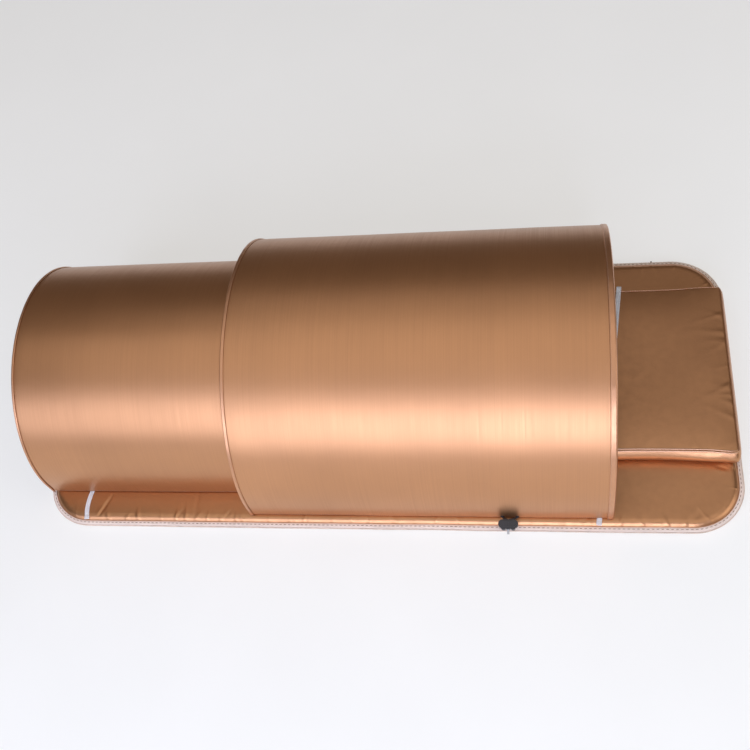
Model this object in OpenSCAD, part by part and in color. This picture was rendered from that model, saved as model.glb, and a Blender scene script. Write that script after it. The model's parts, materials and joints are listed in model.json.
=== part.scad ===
// Two-section telescoping sauna dome on a zipped floor mat.
// Origin: centre of the mat's underside. +X runs from the foot end to the head end,
// +Y to the far side, +Z up. Sizes are in millimetres.

/* [Mat] */
// Length of the mat over its zip
mat_len = 1800; // [1700:10:1900]
// Width of the mat over its zip
mat_w = 790; // [788:2:820]
// Thickness of the mat
mat_t = 30; // [28:1:40]
// Corner radius of the mat over its zip
mat_corner = 130; // [100:5:160]

/* [Shells] */
// Outer radius of the large shell's arch
large_r = 380; // [376:1:382]
// Height of the large shell's arch centre above the floor
large_centre_z = 65; // [60:1:75]
// Outer radius of the small shell's arch
small_r = 319; // [310:1:325]
// Height of the small shell's arch centre above the floor
small_centre_z = 75; // [68:1:80]
// Length of the large shell
large_len = 907; // [860:1:920]
// Length of the small shell
small_len = 750; // [700:10:800]
// Where the large shell's foot end stands along the mat
large_foot_x = -320; // [-340:5:-300]
// Where the small shell's foot end stands along the mat
small_foot_x = -885; // [-885:5:-860]
// Sideways offset of both shells from the mat's middle
shell_y = 14; // [0:1:14]

/* [Head pad] */
// Length of the head pad
pad_len = 447; // [400:1:460]
// Width of the head pad
pad_w = 472; // [420:2:480]
// Thickness of the head pad
pad_t = 51; // [40:1:60]
// Sideways offset of the head pad from the mat's middle
pad_y = 27; // [0:1:30]

/* [Straps] */
// Width of the white webbing
strap_w = 13; // [10:1:20]

/* [Hidden] */

smooth = 96;                       // facets a circle is drawn with; the exact rebuild ignores it
fine = 32;
tube_sides = 12;
air = 0.6;                         // gap left between layers that lie against each other
joined = 0.01;                     // how far shapes reach into each other before a union

gold = [0.76, 0.55, 0.38];
tape_colour = [0.90, 0.80, 0.74];
webbing_white = [0.90, 0.90, 0.92];
lining_grey = [0.24, 0.23, 0.23];
foam_grey = [0.75, 0.75, 0.72];
board_white = [0.86, 0.86, 0.84];
film_black = [0.10, 0.10, 0.11];
copper = [0.72, 0.42, 0.26];
steel = [0.68, 0.69, 0.71];
black = [0.12, 0.12, 0.13];
spigot_grey = [0.62, 0.62, 0.62];

// Mat
cover_inset = 14;                  // zip's outer edge to the gold cover's edge
cover_sheet_t = 1.4;               // coated cloth of the covers
tape_t = 1.2;                      // zip tape
tape_inset = 3;                    // zip's outer edge to the tape's outer face
tape_flange = 18;                  // how far each tape is sewn in under its cover
bead_w = 6;                        // height of the closed coil
bead_t = 2.4;                      // how far the coil stands out
neck_w = 1.6;                      // gap between the two tapes, which the coil's root fills

// Shell wall, outside to inside
skin_t = 1.6;                      // coated cloth of the cover, and the lining's cloth
padding_t = 18;
board_t = 3;
film_t = 0.8;
hem_gap = 2;                       // hem above the mat, so that it runs clear of the straps
hem_z = mat_t + hem_gap;
padding_out = skin_t + air;        // depth of each layer's outer face below the cover's
board_out = padding_out + padding_t + air;
film_out = board_out + board_t + air;
lining_out = film_out + film_t + air;
wall_t = lining_out + skin_t;

bow_w = 12;                        // spring-steel bow in each end
bow_from_end = 6;
batten_h = 16;                     // stiffening batten in each hem
batten_t = 10;
batten_out = padding_out + 3;      // depth of the battens' and the terminal box's outer face
batten_z = hem_z + skin_t + air;
batten_end = 12;                   // batten's end to the shell's end
padding_z = batten_z + batten_h + air;
layer_z = hem_z + skin_t + air;    // foot of the board and the bows
film_z = layer_z + 30;             // foot of the heating film, above its bus bars
box_bay = 92;                      // gap in a batten where the terminal box sits
binding_t = 1.2;                   // binding cloth folded over each end
binding_proud = 1.5;               // how far the fold stands out past the wall's end
wide_binding = 14;                 // binding on the large shell's head end
narrow_binding = 8;                // binding on the other ends
binding_clear = 0.3;

// Electrical pieces
bus_w = 14;                        // copper strip along each edge of a film
bus_end = 40;
film_end = 45;                     // film's end to the shell's end
thermostat_r = 9;
thermostat_h = 5;
terminal_l = 60;
terminal_h = 24;
terminal_t = 12;
terminal_z = batten_z + 4;
wire_r = 1.2;

// Connector on the mat's near edge, by the large shell's hem
connector_x = 337;
connector_w = 48;
connector_d = 25;
connector_h = 17;
connector_tilt = 12;               // it leans down over the mat's edge
connector_y = 8 - mat_w / 2;
connector_z = mat_t + 8.1;
connector_waist = 3;               // how far the front is cut back between its two lobes
lead_x = [connector_x - 14, connector_x + 22];
lead_entry = [-8, 12];             // where each lead enters, sideways from the connector's middle
lead_r = 1.8;
lead_z = mat_t + 12;
lead_entry_z = 2;                  // height of the leads' ends above the connector's middle
lead_stop = 2.1;                   // each lead's end to the connector's back face
lead_turn = 3.4;                   // each lead's turn to the shell's face
lead_round = 1.8;                  // how far before and after its turn each lead is rounded
collar_t = 1.6;
spigot_r = 2.75;
spigot_root_r = 2.2;               // the spigot's root, held in the housing and the collar
spigot_root_len = 4.6;
spigot_reach = 13;                 // the spigot's tip to the housing's waist

// Zip slider
slider_l = 16;
slider_h = 13;
slider_t = 4.2;
slider_x = -700;
pull_l = 26;
pull_w = 8;
pull_t = 1.6;
bail_pin_r = 0.9;
stop_x = 722;

// Straps
strap_t = 1;
strap_lift = 0.1;                  // the webbing lies this far above the cover
foot_strap_x = -773;
strap_end = mat_w / 2 - cover_inset - 2;
head_strap_slope = 0.113;          // sideways run of the head strap for each unit across the mat
head_strap_x = 596;                // where the head strap crosses the mat's middle line
anchor_l = 9;
anchor_t = 0.5;

pad_head_x = mat_len / 2 - 13;
pad_z = mat_t + 0.6;
pad_top = pad_z + pad_t - 0.6;
pad_near_y = pad_y - pad_w / 2;
pad_far_y = pad_y + pad_w / 2;
piping_r = 2.5;
strap_gap = 2 * piping_r + 3.2;    // the head strap clears the piping on the pad's sides
head_strap_near = pad_near_y - strap_gap;
head_strap_far = pad_far_y + strap_gap;
head_strap_end = head_strap_far + anchor_l + 4;    // its far end is tucked in behind the pad

// ---------------------------------------------------------------- helpers

// Turns a drawing in (Y, Z) into a solid that runs along X from x1 to x2.
module along_x(x1, x2) {
    translate([x1, 0, 0]) rotate([90, 0, 90]) linear_extrude(height = x2 - x1) children();
}

// The mat's outline, inset from the zip's outer edge.
module mat_outline(inset) {
    l = mat_len / 2 - mat_corner;
    w = mat_w / 2 - mat_corner;
    r = mat_corner - inset;
    union() {
        square([2 * l, 2 * (w + r)], center = true);
        square([2 * (l + r), 2 * w], center = true);
        for (sx = [-1, 1], sy = [-1, 1])
            translate([sx * l, sy * w]) circle(r = r, $fn = smooth);
    }
}

module mat_slab(inset, z1, z2) {
    translate([0, 0, z1]) linear_extrude(height = z2 - z1) mat_outline(inset);
}

module mat_ring(outer_inset, inner_inset, z1, z2) {
    difference() {
        mat_slab(outer_inset, z1, z2);
        mat_slab(inner_inset, z1 - 1, z2 + 1);
    }
}

// An arch's outline in (Y, Z): a half circle on straight legs that start at height foot.
module arch_outline(r, centre_z, foot) {
    union() {
        intersection() {
            translate([shell_y, centre_z]) circle(r = r, $fn = 2 * smooth);
            translate([shell_y - r, centre_z]) square([2 * r, r + 1]);
        }
        translate([shell_y - r, foot]) square([2 * r, centre_z - foot + joined]);
    }
}

// A layer of a shell's wall: depth is measured inwards from the cover's outer face.
module arch_layer(r, centre_z, depth, t, foot, x1, x2) {
    along_x(x1, x2) difference() {
        arch_outline(r - depth, centre_z, foot);
        arch_outline(r - depth - t, centre_z, foot - 1);
    }
}

// A block in the near or far leg of a shell's wall. side is -1 for near and 1 for far.
module leg_block(r, side, depth, t, x1, x2, z1, z2) {
    y_out = shell_y + side * (r - depth);
    y_in = shell_y + side * (r - depth - t);
    translate([x1, min(y_out, y_in), z1]) cube([x2 - x1, t, z2 - z1]);
}

// A straight round rod between two points.
module rod(a, b, r) {
    d = b - a;
    l = norm(d);
    translate(a) rotate([0, acos(d[2] / l), atan2(d[1], d[0])]) cylinder(r = r, h = l, $fn = fine);
}

function unit(v) = v / norm(v);

// The corners of a lead's outline at one place on its route.
function tube_ring(at, way, r) = let (
    side = unit(cross(way, [0, 0, 1])),
    up = cross(side, way)
) [for (k = [0 : tube_sides - 1])
    at + r * (cos(360 * k / tube_sides) * side + sin(360 * k / tube_sides) * up)];

// A bent lead, from its places and directions.
module tube(route, r) {
    last = (len(route) - 1) * tube_sides;
    rings = [for (place = route) each tube_ring(place[0], place[1], r)];
    walls = [for (j = [0 : tube_sides : last - 1], k = [0 : tube_sides - 1])
        let (next = (k + 1) % tube_sides)
        each [[j + k, j + next, j + tube_sides + k], [j + next, j + tube_sides + next, j + tube_sides + k]]];
    start = [for (k = [tube_sides - 1 : -1 : 0]) k];
    end = [for (k = [0 : tube_sides - 1]) last + k];
    polyhedron(rings, concat([start, end], walls), convexity = 4);
}

// ---------------------------------------------------------------- mat

module mat_top_cover() {
    color(gold) mat_slab(cover_inset, mat_t - cover_sheet_t, mat_t);
}

module mat_bottom_cover() {
    color(lining_grey) mat_slab(cover_inset, 0, cover_sheet_t);
}

module mat_foam() {
    sheet_z = cover_sheet_t + air;
    flange_z = sheet_z + tape_t + air;
    color(foam_grey) union() {
        mat_slab(tape_inset + tape_t + tape_flange + air, sheet_z, mat_t - sheet_z);
        mat_slab(tape_inset + tape_t + bead_t + air, flange_z, mat_t - flange_z);
    }
}

// One half of the zip's tape: an upright band, and the flange sewn under a cover.
module zip_tape() {
    z2 = mat_t - cover_sheet_t - air;
    union() {
        mat_ring(tape_inset, tape_inset + tape_t, mat_t / 2 + neck_w / 2 + 0.2, z2);
        mat_ring(tape_inset + tape_t - joined, tape_inset + tape_t + tape_flange, z2 - tape_t, z2);
    }
}

module zip_tape_upper() {
    color(tape_colour) zip_tape();
}

module zip_tape_lower() {
    color(tape_colour) translate([0, 0, mat_t]) mirror([0, 0, 1]) zip_tape();
}

// The closed coil: a bead all round the mat, and its root between the two tapes.
module zip_coil() {
    color(tape_colour) union() {
        mat_ring(0, bead_t, mat_t / 2 - bead_w / 2, mat_t / 2 + bead_w / 2);
        mat_ring(bead_t - joined, tape_inset + tape_t + 1, mat_t / 2 - neck_w / 2, mat_t / 2 + neck_w / 2);
    }
}

// The clips that stop the slider at both ends of the far straight run.
module zip_stops() {
    color(steel) for (side = [-1, 1])
        translate([side * stop_x - 2, mat_w / 2 + 0.1, mat_t / 2 - 4]) cube([4, 1.8, 8]);
}

module head_pad_block(inset, z1, z2) {
    translate([pad_head_x - pad_len + inset, pad_near_y + inset, z1])
        cube([pad_len - 2 * inset, pad_w - 2 * inset, z2 - z1]);
}

module head_pad_cover() {
    color(gold) difference() {
        head_pad_block(0, pad_z, pad_top);
        head_pad_block(skin_t, pad_z + skin_t, pad_top - skin_t);
    }
}

module head_pad_foam() {
    inner = skin_t + air;
    color(foam_grey) head_pad_block(inner, pad_z + inner, pad_top - inner);
}

// Piping along the pad's near and far top edges, lying just outside the cover.
module head_pad_piping() {
    color(gold) for (side = [-1, 1]) {
        y = pad_y + side * (pad_w / 2 + piping_r + 0.1);
        rod([pad_head_x - pad_len + 6, y, pad_top - 4], [pad_head_x - 6, y, pad_top - 4], piping_r);
    }
}

module foot_strap() {
    color(webbing_white) translate([foot_strap_x - strap_w / 2, -strap_end, mat_t + strap_lift])
        cube([strap_w, 2 * strap_end, strap_t]);
}

// Lays what is drawn along the mat's middle line on the head strap's slanted line.
module on_head_strap() {
    translate([head_strap_x, 0, 0]) rotate([0, 0, -atan(head_strap_slope)]) children();
}

// Runs slantwise across the mat, climbs the head pad, crosses its top and goes down behind it.
module head_strap() {
    low = mat_t + strap_lift;
    high = pad_top + strap_lift;
    near = head_strap_near;
    far = head_strap_far;
    color(webbing_white) on_head_strap()
        along_x(-strap_w / 2, strap_w / 2) union() {
            translate([-strap_end, low]) square([near + strap_end, strap_t]);
            translate([near - strap_t, low]) square([strap_t, high - low + strap_t]);
            translate([near - strap_t, high]) square([far - near + 2 * strap_t, strap_t]);
            translate([far, low]) square([strap_t, high - low + strap_t]);
            translate([far, low]) square([head_strap_end - far, strap_t]);
        }
}

// One sewn patch over a strap's end, its middle at y.
module strap_anchor(y) {
    z = mat_t + 2 * strap_lift + strap_t + anchor_t / 2;
    translate([0, y, z]) cube([strap_w + 2, anchor_l, anchor_t], center = true);
}

// Sewn patches that hold the ends of both straps to the mat's cover.
module strap_anchors() {
    inset = anchor_l / 2;
    near = inset - strap_end;
    color(webbing_white) {
        translate([foot_strap_x, 0, 0]) for (y = [near, -near]) strap_anchor(y);
        on_head_strap() for (y = [near, head_strap_end - inset]) strap_anchor(y);
    }
}

// ---------------------------------------------------------------- zip slider

slider_y = mat_w / 2;
bail_x = slider_x + 3;
bail_base_y = slider_y + slider_t + 0.05;
bail_pin_y = bail_base_y + 2.4;

// A channel that grips the coil from outside, with two lugs for the pull's pin.
module slider_body() {
    slot_h = bead_w + 0.8;
    grip = bead_t + 0.4;            // how far the lips reach in past the coil
    color(steel) translate([slider_x, slider_y, mat_t / 2]) difference() {
        translate([-slider_l / 2, -grip, -slider_h / 2]) cube([slider_l, slider_t + grip, slider_h]);
        translate([-slider_l, -grip - 0.4, -slot_h / 2]) cube([2 * slider_l, grip + 0.8, slot_h]);
    }
}

// The upright pin the pull hangs on, held off the slider's face by two lugs.
module slider_bail() {
    color(steel) translate([bail_x, bail_base_y, mat_t / 2]) union() {
        for (side = [-1, 1])
            translate([-1.8, 0, side * 5 - 0.9]) cube([3.6, 4, 1.8]);
        translate([0, bail_pin_y - bail_base_y, -5]) cylinder(r = bail_pin_r, h = 10, $fn = fine);
    }
}

// The pull: an eye round the pin, and a flat tab with a rounded end.
module pull_tab() {
    eye_r = 2.2;
    eye_h = 7.2;
    color(steel) translate([bail_x, bail_pin_y, mat_t / 2]) difference() {
        union() {
            translate([0, 0, -eye_h / 2]) cylinder(r = eye_r, h = eye_h, $fn = fine);
            translate([0, eye_r - pull_t, -eye_h / 2]) cube([6, pull_t, eye_h]);
            translate([5, eye_r - pull_t, -pull_w / 2]) cube([pull_l - 5 - pull_w / 2, pull_t, pull_w]);
            translate([pull_l - pull_w / 2, eye_r, 0]) rotate([90, 0, 0])
                cylinder(r = pull_w / 2, h = pull_t, $fn = fine);
        }
        translate([0, 0, -5]) cylinder(r = bail_pin_r + 0.1, h = 10, $fn = fine);
        translate([pull_l - pull_w / 2, eye_r + 1, 0]) rotate([90, 0, 0])
            cylinder(r = 1.6, h = pull_t + 2, $fn = fine);
    }
}

// ---------------------------------------------------------------- shell layers

module shell_cover(r, centre_z, x1, x2, holes) {
    color(gold) difference() {
        union() {
            arch_layer(r, centre_z, 0, skin_t, hem_z, x1, x2);
            for (side = [-1, 1])
                leg_block(r, side, 0, lining_out - air, x1, x2, hem_z, hem_z + skin_t);
        }
        for (h = holes)
            translate([h[0], h[1], h[2]]) rotate([90, 0, 0])
                cylinder(r = h[3], h = 12, center = true, $fn = fine);
    }
}

module shell_padding(r, centre_z, x1, x2, bay_x, bay_side) {
    bay_1 = bay_x - box_bay / 2;
    color(foam_grey) difference() {
        arch_layer(r, centre_z, padding_out, padding_t, padding_z, x1 + 3, x2 - 3);
        // bay for the terminal box
        leg_block(r, bay_side, padding_out - 1, padding_t + 2, bay_1, bay_1 + box_bay, padding_z - 1,
            padding_z + terminal_h);
        // pocket for the thermostat at the crown
        translate([(x1 + x2) / 2, shell_y, centre_z + r - board_out - 1])
            cylinder(r = thermostat_r + 0.5, h = 1 + air + thermostat_h + 1, $fn = fine);
    }
}

module shell_board(r, centre_z, x1, x2) {
    inner_end = bow_from_end + bow_w + 2;
    color(board_white) difference() {
        arch_layer(r, centre_z, board_out, board_t, layer_z, x1 + inner_end, x2 - inner_end);
        translate([(x1 + x2) / 2, shell_y, centre_z + r - board_out - board_t - 2])
            cylinder(r = 4, h = board_t + 4, $fn = fine);
    }
}

module shell_bows(r, centre_z, x1, x2) {
    color(steel) for (x = [x1 + bow_from_end, x2 - bow_from_end - bow_w])
        arch_layer(r, centre_z, board_out + 0.5, board_t - 1, layer_z, x, x + bow_w);
}

module shell_film(r, centre_z, x1, x2) {
    color(film_black) arch_layer(r, centre_z, film_out, film_t, film_z, x1 + film_end, x2 - film_end);
}

// A copper strip along both lower edges of the film, just below it.
module shell_bus_bars(r, centre_z, x1, x2) {
    z2 = film_z - air;
    color(copper) for (side = [-1, 1])
        leg_block(r, side, film_out, film_t, x1 + bus_end, x2 - bus_end, z2 - bus_w, z2);
}

module shell_lining(r, centre_z, x1, x2) {
    color(lining_grey) arch_layer(r, centre_z, lining_out, skin_t, hem_z, x1, x2);
}

// Cloth folded over an end of the wall, as a U turned on its side.
// outward is -1 at a foot end and 1 at a head end.
module shell_binding(r, centre_z, x_end, outward, w) {
    x_out = x_end + outward * binding_proud;
    x_in = x_end - outward * w;
    x_cap = x_end + outward * binding_clear;
    x_past = x_in - outward;
    fold_in = r - wall_t - binding_clear;
    color(gold) difference() {
        along_x(min(x_out, x_in), max(x_out, x_in)) difference() {
            arch_outline(r + binding_clear + binding_t, centre_z, hem_z);
            arch_outline(fold_in - binding_t, centre_z, hem_z - 1);
        }
        along_x(min(x_cap, x_past), max(x_cap, x_past)) difference() {
            arch_outline(r + binding_clear, centre_z, hem_z - 1);
            arch_outline(fold_in, centre_z, hem_z - 2);
        }
    }
}

// The batten in the leg that holds the terminal box stops on both sides of its bay.
module shell_hem_battens(r, x1, x2, bay_x, bay_side) {
    a = x1 + batten_end;
    b = x2 - batten_end;
    bay_1 = bay_x - box_bay / 2;
    bay_2 = bay_x + box_bay / 2;
    z2 = batten_z + batten_h;
    color(board_white) {
        leg_block(r, -bay_side, batten_out, batten_t, a, b, batten_z, z2);
        leg_block(r, bay_side, batten_out, batten_t, a, bay_1, batten_z, z2);
        leg_block(r, bay_side, batten_out, batten_t, bay_2, b, batten_z, z2);
    }
}

module shell_thermostat(r, centre_z, x1, x2) {
    color(black) translate([(x1 + x2) / 2, shell_y, centre_z + r - board_out + air])
        cylinder(r = thermostat_r, h = thermostat_h, $fn = fine);
}

module shell_terminal_box(r, bay_x, bay_side) {
    x1 = bay_x - terminal_l / 2;
    x2 = bay_x + terminal_l / 2;
    color(black)
        leg_block(r, bay_side, batten_out, terminal_t, x1, x2, terminal_z, terminal_z + terminal_h);
}

// Two wires out of the terminal box's top, up to the film behind the board.
module shell_harness(r, bay_x, bay_side) {
    y = shell_y + bay_side * (r - batten_out - terminal_t / 2);
    z = terminal_z + terminal_h + 0.2;
    color(black) for (dx = [-12, 12])
        rod([bay_x + dx, y, z], [bay_x + dx, y, z + 8], wire_r);
}

// ---------------------------------------------------------------- small shell

small_head_x = small_foot_x + small_len;
small_bay_x = small_foot_x + 90;
inlet_z = 52;
inlet_r = 9;

module small_cover() {
    shell_cover(small_r, small_centre_z, small_foot_x, small_head_x,
        [[small_bay_x, shell_y + small_r, inlet_z, inlet_r + 0.3]]);
}
module small_padding() shell_padding(small_r, small_centre_z, small_foot_x, small_head_x, small_bay_x, 1);
module small_board() shell_board(small_r, small_centre_z, small_foot_x, small_head_x);
module small_heating_film() shell_film(small_r, small_centre_z, small_foot_x, small_head_x);
module small_bus_bars() shell_bus_bars(small_r, small_centre_z, small_foot_x, small_head_x);
module small_lining() shell_lining(small_r, small_centre_z, small_foot_x, small_head_x);
module small_foot_binding() shell_binding(small_r, small_centre_z, small_foot_x, -1, narrow_binding);
module small_head_binding() shell_binding(small_r, small_centre_z, small_head_x, 1, narrow_binding);
module small_hem_battens() shell_hem_battens(small_r, small_foot_x, small_head_x, small_bay_x, 1);
module small_bows() shell_bows(small_r, small_centre_z, small_foot_x, small_head_x);
module small_thermostat() shell_thermostat(small_r, small_centre_z, small_foot_x, small_head_x);
module small_terminal_box() shell_terminal_box(small_r, small_bay_x, 1);
module small_harness() shell_harness(small_r, small_bay_x, 1);

// Flush inlet for the small shell's heater lead, on the far side by the foot end.
module small_inlet() {
    face_y = shell_y + small_r;
    color(black) translate([small_bay_x, face_y, inlet_z]) rotate([-90, 0, 0]) difference() {
        union() {
            translate([0, 0, -skin_t - 2.5]) cylinder(r = inlet_r, h = skin_t + 2.5 + joined, $fn = fine);
            translate([0, 0, 0.2]) cylinder(r = inlet_r + 3, h = 2, $fn = fine);
            translate([0, 0, -joined]) cylinder(r = inlet_r, h = 0.3, $fn = fine);
        }
        translate([0, 0, -1]) cylinder(r = 5.5, h = 10, $fn = fine);
    }
}

// ---------------------------------------------------------------- large shell

large_head_x = large_foot_x + large_len;

module large_cover() {
    shell_cover(large_r, large_centre_z, large_foot_x, large_head_x,
        [for (x = lead_x) [x, shell_y - large_r, lead_z, lead_r + 1.6]]);
}
module large_padding() shell_padding(large_r, large_centre_z, large_foot_x, large_head_x, connector_x, -1);
module large_board() shell_board(large_r, large_centre_z, large_foot_x, large_head_x);
module large_heating_film() shell_film(large_r, large_centre_z, large_foot_x, large_head_x);
module large_bus_bars() shell_bus_bars(large_r, large_centre_z, large_foot_x, large_head_x);
module large_lining() shell_lining(large_r, large_centre_z, large_foot_x, large_head_x);
module large_foot_binding() shell_binding(large_r, large_centre_z, large_foot_x, -1, narrow_binding);
module large_head_binding() shell_binding(large_r, large_centre_z, large_head_x, 1, wide_binding);
module large_hem_battens() shell_hem_battens(large_r, large_foot_x, large_head_x, connector_x, -1);
module large_bows() shell_bows(large_r, large_centre_z, large_foot_x, large_head_x);
module large_thermostat() shell_thermostat(large_r, large_centre_z, large_foot_x, large_head_x);
module large_terminal_box() shell_terminal_box(large_r, connector_x, -1);
module large_harness() shell_harness(large_r, connector_x, -1);

near_face_y = shell_y - large_r;

// Rubber eyelets where the two leads come out of the cover.
module lead_grommets() {
    color(black) for (x = lead_x)
        translate([x, near_face_y, lead_z]) rotate([90, 0, 0]) difference() {
            union() {
                translate([0, 0, -skin_t - 0.4]) cylinder(r = lead_r + 1.4, h = skin_t + 0.6, $fn = fine);
                translate([0, 0, 0.15]) cylinder(r = lead_r + 3, h = 1.4, $fn = fine);
            }
            translate([0, 0, -5]) cylinder(r = lead_r + 0.25, h = 10, $fn = fine);
        }
}

// Places a drawing in the connector's own frame: its middle, leaning over the mat's edge.
module at_connector() {
    translate([connector_x, connector_y, connector_z]) rotate([connector_tilt, 0, 0]) children();
}

// A point on the connector's back face, at a sideways distance and a height from its middle.
function connector_back(dx, dz, out) = [
    connector_x + dx,
    connector_y + (connector_d / 2 + out) * cos(connector_tilt) - dz * sin(connector_tilt),
    connector_z + (connector_d / 2 + out) * sin(connector_tilt) + dz * cos(connector_tilt)
];

function lead_bend(i) = [lead_x[i], near_face_y - lead_turn, lead_z];
function lead_tip(i) = connector_back(lead_entry[i], lead_entry_z, lead_stop);

// The places along a lead, each with the direction that the lead runs in there: out of the
// wall, round its turn, and on to the connector's back.
function lead_route(i) = let (
    bend = lead_bend(i),
    out = [0, -1, 0],
    on = unit(lead_tip(i) - bend)
) concat(
    [[[lead_x[i], near_face_y + batten_out - 0.3, lead_z], out]],
    [for (s = [0 : 0.2 : 1]) [
        bend + lead_round * (s * s * on - (1 - s) * (1 - s) * out),
        unit(s * on + (1 - s) * out)
    ]],
    [[lead_tip(i), on]]
);

// Both leads leave their eyelets, turn in and stop at the connector's back.
module connector_leads() {
    color(black) for (i = [0, 1]) tube(lead_route(i), lead_r);
}

waist_y = connector_waist - connector_d / 2;

// A housing with a round lobe at each side and two smaller ones at the front.
module connector_body() {
    side_r = 10.5;
    front_r = 6;
    reach = connector_w / 2 - side_r;
    color(black) at_connector() difference() {
        union() {
            for (side = [-1, 1]) {
                translate([side * reach, connector_d / 2 - side_r, -connector_h / 2])
                    cylinder(r = side_r, h = connector_h, $fn = fine);
                translate([side * 11.5, front_r - connector_d / 2, -connector_h / 2])
                    cylinder(r = front_r, h = connector_h, $fn = fine);
            }
            translate([-reach, waist_y, -connector_h / 2])
                cube([2 * reach, connector_d - connector_waist, connector_h]);
        }
        // bore that holds the spigot's root
        translate([0, waist_y + spigot_root_len + 0.4, 0]) rotate([90, 0, 0])
            cylinder(r = spigot_root_r + 0.1, h = 8, $fn = fine);
        // screw wells in the underside
        for (side = [-1, 1])
            translate([side * reach, connector_d / 2 - side_r, -connector_h / 2 - 1])
                cylinder(r = 2.5, h = 5, $fn = fine);
    }
}

// The lid screwed on top, with a raised grip rib across it.
module connector_lid() {
    color(black) at_connector() translate([0, 1, connector_h / 2 + 0.05]) union() {
        translate([-12, -7, 0]) cube([24, 15, 1.4]);
        for (side = [-1, 1])
            translate([side * 12, 0.5, 0]) cylinder(r = 7.5, h = 1.4, $fn = fine);
        for (dx = [-6, 0, 6])
            translate([dx - 0.8, -5, 1.4 - joined]) cube([1.6, 11, 0.8]);
    }
}

module connector_collar() {
    color(black) at_connector() translate([0, waist_y - 0.05, 0]) rotate([90, 0, 0]) difference() {
        cylinder(r = spigot_r + 1.7, h = collar_t, $fn = fine);
        translate([0, 0, -1]) cylinder(r = spigot_root_r + 0.1, h = collar_t + 2, $fn = fine);
    }
}

// Strain-relief boots on the connector's back, one round each lead's end.
module connector_boots() {
    color(black) for (i = [0, 1]) {
        run = lead_bend(i) - lead_tip(i);
        difference() {
            rod(lead_tip(i) - run, lead_tip(i) + run * 0.4, lead_r + 1.3);
            rod(lead_tip(i) - 2 * run, lead_tip(i) + run, lead_r + 0.1);
            // the boot's foot is cut flat, clear of the connector's back
            at_connector() translate([lead_entry[i] - 15, connector_d / 2 - 29.9, -20]) cube([30, 30, 40]);
        }
    }
}

// The spigot that the control lead's socket pushes onto.
module connector_spigot() {
    barrel_start = collar_t + 0.1;
    color(spigot_grey) at_connector() translate([0, waist_y, 0]) rotate([90, 0, 0]) union() {
        translate([0, 0, -spigot_root_len])
            cylinder(r = spigot_root_r, h = spigot_root_len + barrel_start + joined, $fn = fine);
        translate([0, 0, barrel_start])
            cylinder(r = spigot_r, h = spigot_reach - barrel_start, $fn = fine);
    }
}

// ---------------------------------------------------------------- drawing

mat_top_cover();
mat_bottom_cover();
mat_foam();
zip_tape_upper();
zip_tape_lower();
zip_coil();
zip_stops();
head_pad_cover();
head_pad_foam();
head_pad_piping();
foot_strap();
head_strap();
strap_anchors();
slider_body();
slider_bail();
pull_tab();
small_cover();
small_padding();
small_board();
small_heating_film();
small_bus_bars();
small_lining();
small_foot_binding();
small_head_binding();
small_hem_battens();
small_bows();
small_thermostat();
small_terminal_box();
small_harness();
small_inlet();
large_cover();
large_padding();
large_board();
large_heating_film();
large_bus_bars();
large_lining();
large_foot_binding();
large_head_binding();
large_hem_battens();
large_bows();
large_thermostat();
large_terminal_box();
large_harness();
lead_grommets();
connector_leads();
connector_body();
connector_lid();
connector_collar();
connector_boots();
connector_spigot();
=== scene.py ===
import json
import math

import bpy
import bmesh
import numpy as np
from mathutils import Matrix, Vector
from mathutils.bvhtree import BVHTree


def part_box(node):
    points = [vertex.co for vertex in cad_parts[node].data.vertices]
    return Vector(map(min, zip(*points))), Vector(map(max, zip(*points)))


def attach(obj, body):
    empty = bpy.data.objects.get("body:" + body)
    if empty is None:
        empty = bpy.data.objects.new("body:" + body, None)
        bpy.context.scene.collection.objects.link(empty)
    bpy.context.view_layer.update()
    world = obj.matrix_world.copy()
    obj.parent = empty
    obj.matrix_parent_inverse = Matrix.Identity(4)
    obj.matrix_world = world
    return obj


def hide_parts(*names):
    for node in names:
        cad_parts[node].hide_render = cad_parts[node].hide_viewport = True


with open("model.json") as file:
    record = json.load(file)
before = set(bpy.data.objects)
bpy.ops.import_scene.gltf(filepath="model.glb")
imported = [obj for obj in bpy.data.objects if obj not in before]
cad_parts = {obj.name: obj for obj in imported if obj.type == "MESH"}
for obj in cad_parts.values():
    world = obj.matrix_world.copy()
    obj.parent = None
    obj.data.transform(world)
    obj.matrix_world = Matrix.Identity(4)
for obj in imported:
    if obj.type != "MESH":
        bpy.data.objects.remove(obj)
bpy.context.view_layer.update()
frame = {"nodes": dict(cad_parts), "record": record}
NODES = frame["nodes"]
MM = 0.001
X, Y, Z = np.eye(3)

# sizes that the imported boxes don't give, in metres
MAT_CORNER = 0.130
SEAM_INSET = 0.0132           # from the mat's edge in to its cover's seam
WALL = 0.0274                 # how thick a shell is
WIDE_BINDING = 0.014          # the large shell's head end
NARROW_BINDING = 0.008        # its foot end, and the small shell's head end
SLIM_BINDING = 0.0055         # the small shell's foot end


def box(node):
    lo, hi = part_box(node)
    return np.array(lo), np.array(hi)


# ------------------------------------------------------------------ view and light

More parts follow.
